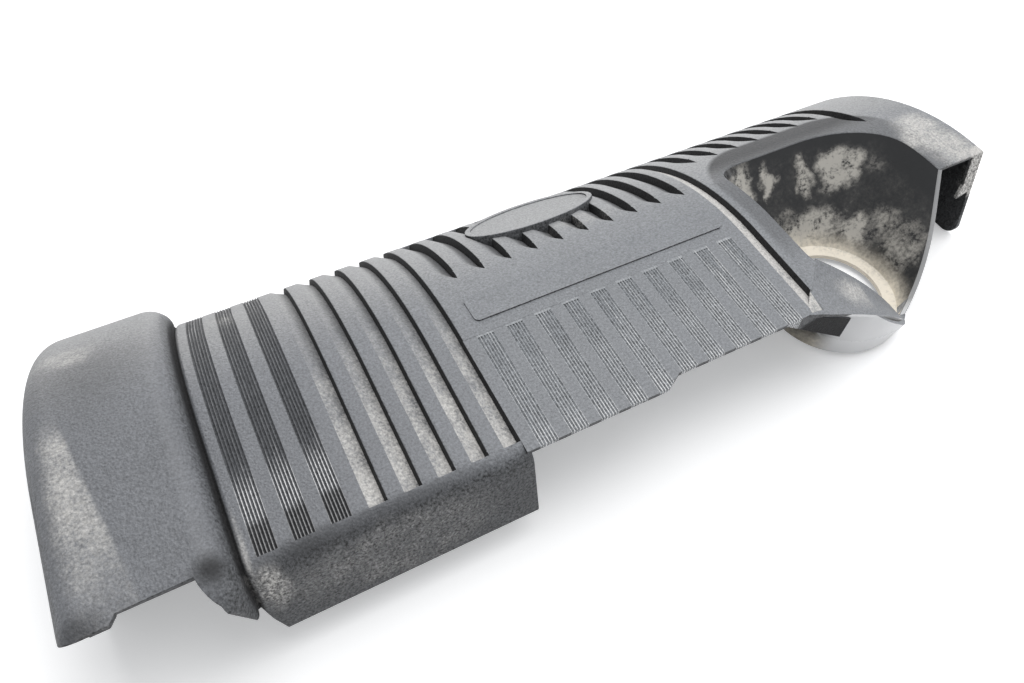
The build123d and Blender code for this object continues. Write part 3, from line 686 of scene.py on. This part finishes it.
# True where the detail is too small to round
def tooFine(point):
    values = coverBody
    firstPanelX = layout["noseEndX"] + layout["pitch"]
    onNose = inBands(point, layout["firstBandX"], layout["noseBands"])
    onPanel = inBands(point, firstPanelX, layout["panelBands"]) and point.y < layout["crownY"]
    atTips = any(
        left < point.x < right and tip - values["tipMargin"] < point.y < tip + values["tipLength"]
        for left, right, tip in layout["slotTips"]
    )
    ringReach = math.hypot(point.x - layout["bowlX"], point.y - layout["bowlY"])
    onRing = ringReach < layout["ringRadius"] and point.z < layout["ringTopZ"]
    onBoss = point.z < layout["bossTopZ"] and any(
        math.hypot(point.x - x, point.y - y) < layout["bossRadius"] for x, y in layout["pinPlaces"]
    )
    inCrowd = any((point - Vector(place)).length < reach for place, reach in values["crowded"])
    onFoot = point.z < values["footTopZ"]
    return onNose or onPanel or atTips or onRing or onBoss or inCrowd or onFoot


def onStrip(face):
    values = coverBody
    point = face.calc_center_median()
    (leftEnd, rightEnd), (lowEnd, highEnd) = values["stripX"], values["stripZ"]
    inPlace = leftEnd < point.x < rightEnd and lowEnd < point.z < highEnd
    return inPlace and face.normal.z > values["stripTilt"] and point.y < values["stripFarY"]


# Place on the crown as reach from its axis and turn around it
def crownPlace(point):
    across = point.y - layout["crownY"]
    above = point.z - layout["panelZ"] + layout["crownRadius"]
    return math.hypot(across, above), math.atan2(across, above)


def onCrownSkin(vert):
    reach, turn = crownPlace(vert.co)
    match = abs(reach - layout["crownRadius"]) < coverBody["skinMatch"]
    return match and turn > coverBody["firstTurn"]


def inBowl(face):
    point = face.calc_center_median()
    low, high = layout["bowlLow"], layout["bowlHigh"]
    shallow = crownPlace(point)[0] > layout["crownRadius"] - coverBody["skinDepth"]
    onSkin = face.normal.z > coverBody["skinTilt"] and shallow
    inside = all(low[i] < point[i] < high[i] for i in range(3))
    return inside and not onStrip(face) and not onSkin


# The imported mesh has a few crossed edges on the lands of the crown, which are turned back
def turnCrossedEdges(bm):
    crossed = set()
    for edge in bm.edges:
        if all(onCrownSkin(vert) for vert in edge.verts):
            first, second = (crownPlace(vert.co)[1] for vert in edge.verts)
            if abs(first - second) > coverBody["longestTurn"]:
                crossed.add(edge)
    lands = [
        face for face in bm.faces
        if any(edge in crossed for edge in face.edges)
        and all(onCrownSkin(vert) for vert in face.verts)
    ]
    inner = [
        edge for edge in bm.edges
        if edge.is_manifold and all(face in lands for face in edge.link_faces)
    ]
    bmesh.ops.beautify_fill(bm, faces=lands, edges=inner, method="ANGLE")
    print("turned edges on", len(lands), "faces")


def toRound(edge):
    if not edge.is_manifold or not edge.is_convex:
        return False
    if edge.calc_face_angle() < coverBody["sharp"] or edge.calc_length() < coverBody["shortest"]:
        return False
    if any(onStrip(face) for face in edge.link_faces):
        return False
    return not any(tooFine(vert.co) for vert in edge.verts)


# Mesh object at the origin, attached to the root body
def placePiece(name, bm, *materials):
    mesh = bpy.data.meshes.new(name)
    bm.to_mesh(mesh)
    bm.free()
    if mesh.has_custom_normals:  # the frame's own normals no longer fit the rounded edges
        mesh.attributes.remove(mesh.attributes["custom_normal"])
    for material in materials:
        mesh.materials.append(material)
    piece = bpy.data.objects.new(name, mesh)
    bpy.context.scene.collection.objects.link(piece)
    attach(piece, "root")
    return piece


def makeCoverBody():
    values = coverBody
    bm = bmesh.new()
    bm.from_mesh(shellNode.data)
    bmesh.ops.remove_doubles(bm, verts=bm.verts, dist=values["merge"])
    turnCrossedEdges(bm)
    bmesh.ops.dissolve_limit(bm, angle_limit=values["flat"], verts=bm.verts, edges=bm.edges)
    edges = [edge for edge in bm.edges if toRound(edge)]
    print("rounding", len(edges), "edges")
    bmesh.ops.bevel(
        bm, geom=edges, offset=values["rounding"], offset_type="OFFSET", affect="EDGES",
        segments=values["segments"], profile=0.5, material=-1,
        clamp_overlap=False, loop_slide=True,
    )
    for edge in bm.edges:
        shallow = edge.calc_face_angle(0.0) < values["crease"]
        edge.smooth = shallow or all(onStrip(face) for face in edge.link_faces)
    for face in bm.faces:
        face.smooth = True
        face.material_index = 1 if inBowl(face) else 0
    body = placePiece(values["name"], bm, coverPlastic, bowlPlastic)
    weighted = body.modifiers.new("flatFaces", "WEIGHTED_NORMAL")
    weighted.keep_sharp = True
    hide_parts("cover_shell")


makeCoverBody()
print("cover body ready")

# Pointed tail that carries the lip of the right end wall a little further down
lipTail = {
    "name": "lipTail",
    "outline": ((0.2605, 0.0400), (0.2692, 0.0375), (0.2692, 0.0345), (0.2573, 0.0316)),
    "lean": math.tan(math.radians(14.5)),
    "thickness": 0.0024,
    "rounding": 0.0003,
}


def makeLipTail():
    values = lipTail
    bm = bmesh.new()
    verts = []
    for x, z in values["outline"]:
        y = layout["lipY"] - (layout["panelZ"] - z) * values["lean"]
        verts.append(bm.verts.new((x, y, z)))
    front = bm.faces.new(verts)
    solid = bmesh.ops.extrude_face_region(bm, geom=[front])
    moved = [item for item in solid["geom"] if isinstance(item, bmesh.types.BMVert)]
    bmesh.ops.translate(bm, verts=moved, vec=(0.0, values["thickness"], 0.0))
    bmesh.ops.recalc_face_normals(bm, faces=bm.faces)
    bmesh.ops.bevel(
        bm, geom=bm.edges[:], offset=values["rounding"], offset_type="OFFSET", affect="EDGES",
        segments=1, profile=0.5, material=-1,
    )
    placePiece(values["name"], bm, coverPlastic)


makeLipTail()
print("lip tail ready")

stage = {
    "floorSize": 12.0,
    "floorGap": 0.0005,
    "floorColour": (0.93, 0.93, 0.935, 1.0),
    "floorRoughness": 0.9,
    "floorSpecular": 0.1,
    "floorGlow": 0.32,
    "worldColour": (0.98, 0.99, 1.0, 1.0),
    "worldStrength": 0.46,
    "aim": (0.0, 0.0, 0.03),
    "lamps": {
        "topSoftbox": {"place": (0.40, 0.30, 1.9), "size": 1.6, "power": 21.0},
        "backSoftbox": {"place": (0.1, 1.7, 1.0), "size": 1.8, "power": 15.5},
        "rightSoftbox": {"place": (1.6, 0.1, 0.9), "size": 1.2, "power": 7.0},
    },
}


# Pale floor, lifted to white for the camera only
def makeFloor():
    bm = bmesh.new()
    bmesh.ops.create_grid(bm, x_segments=1, y_segments=1, size=stage["floorSize"] / 2)
    mesh = bpy.data.meshes.new("floor")
    bm.to_mesh(mesh)
    bm.free()
    material = bpy.data.materials.new("paleFloor")
    material.use_nodes = True
    tree = material.node_tree
    seen = addNode(tree, "LightPath").outputs["Is Camera Ray"]
    fillSockets(tree, tree.nodes["Principled BSDF"], {
        "Base Color": stage["floorColour"],
        "Roughness": stage["floorRoughness"],
        "Specular IOR Level": stage["floorSpecular"],
        "Emission Color": stage["worldColour"],
        "Emission Strength": calc(tree, "MULTIPLY", seen, stage["floorGlow"]),
    })
    mesh.materials.append(material)
    floor = bpy.data.objects.new("floor", mesh)
    bpy.context.scene.collection.objects.link(floor)
    floor.location.z = cadLow.z - stage["floorGap"]


# White for the camera, softer for the light on the cover
def makeWorld():
    world = bpy.data.worlds.new("studio")
    bpy.context.scene.world = world
    world.use_nodes = True
    tree = world.node_tree
    seen = addNode(tree, "LightPath").outputs["Is Camera Ray"]
    lift = calc(tree, "MULTIPLY", seen, 1.0 - stage["worldStrength"])
    fillSockets(tree, tree.nodes["Background"], {
        "Color": stage["worldColour"],
        "Strength": calc(tree, "ADD", stage["worldStrength"], lift),
    })


def makeLamps():
    for name, values in stage["lamps"].items():
        lamp = bpy.data.lights.new(name, "AREA")
        lamp.size = values["size"]
        lamp.energy = values["power"]
        holder = bpy.data.objects.new(name, lamp)
        holder.location = values["place"]
        aim = Vector(stage["aim"]) - Vector(values["place"])
        holder.rotation_euler = aim.to_track_quat("-Z", "Y").to_euler()
        bpy.context.scene.collection.objects.link(holder)


cameraView = {
    "place": (-0.1617, -0.23695, 0.380),
    "right": (0.8902, -0.4546, 0.0296),
    "up": (0.3560, 0.7349, 0.5772),
    "sensor": 36.0,
    "lens": 28.23,
}


def makeCamera():
    data = bpy.data.cameras.new("photoCamera")
    data.sensor_width = cameraView["sensor"]
    data.lens = cameraView["lens"]
    right = Vector(cameraView["right"]).normalized()
    up = Vector(cameraView["up"])
    up = (up - right * up.dot(right)).normalized()
    turn = Matrix((right, up, right.cross(up))).transposed().to_4x4()
    camera = bpy.data.objects.new("photoCamera", data)
    camera.matrix_world = Matrix.Translation(cameraView["place"]) @ turn
    bpy.context.scene.collection.objects.link(camera)
    bpy.context.scene.camera = camera


makeFloor()
makeWorld()
makeLamps()
makeCamera()
bpy.context.scene.view_settings.view_transform = "Standard"
print("stage and camera ready")
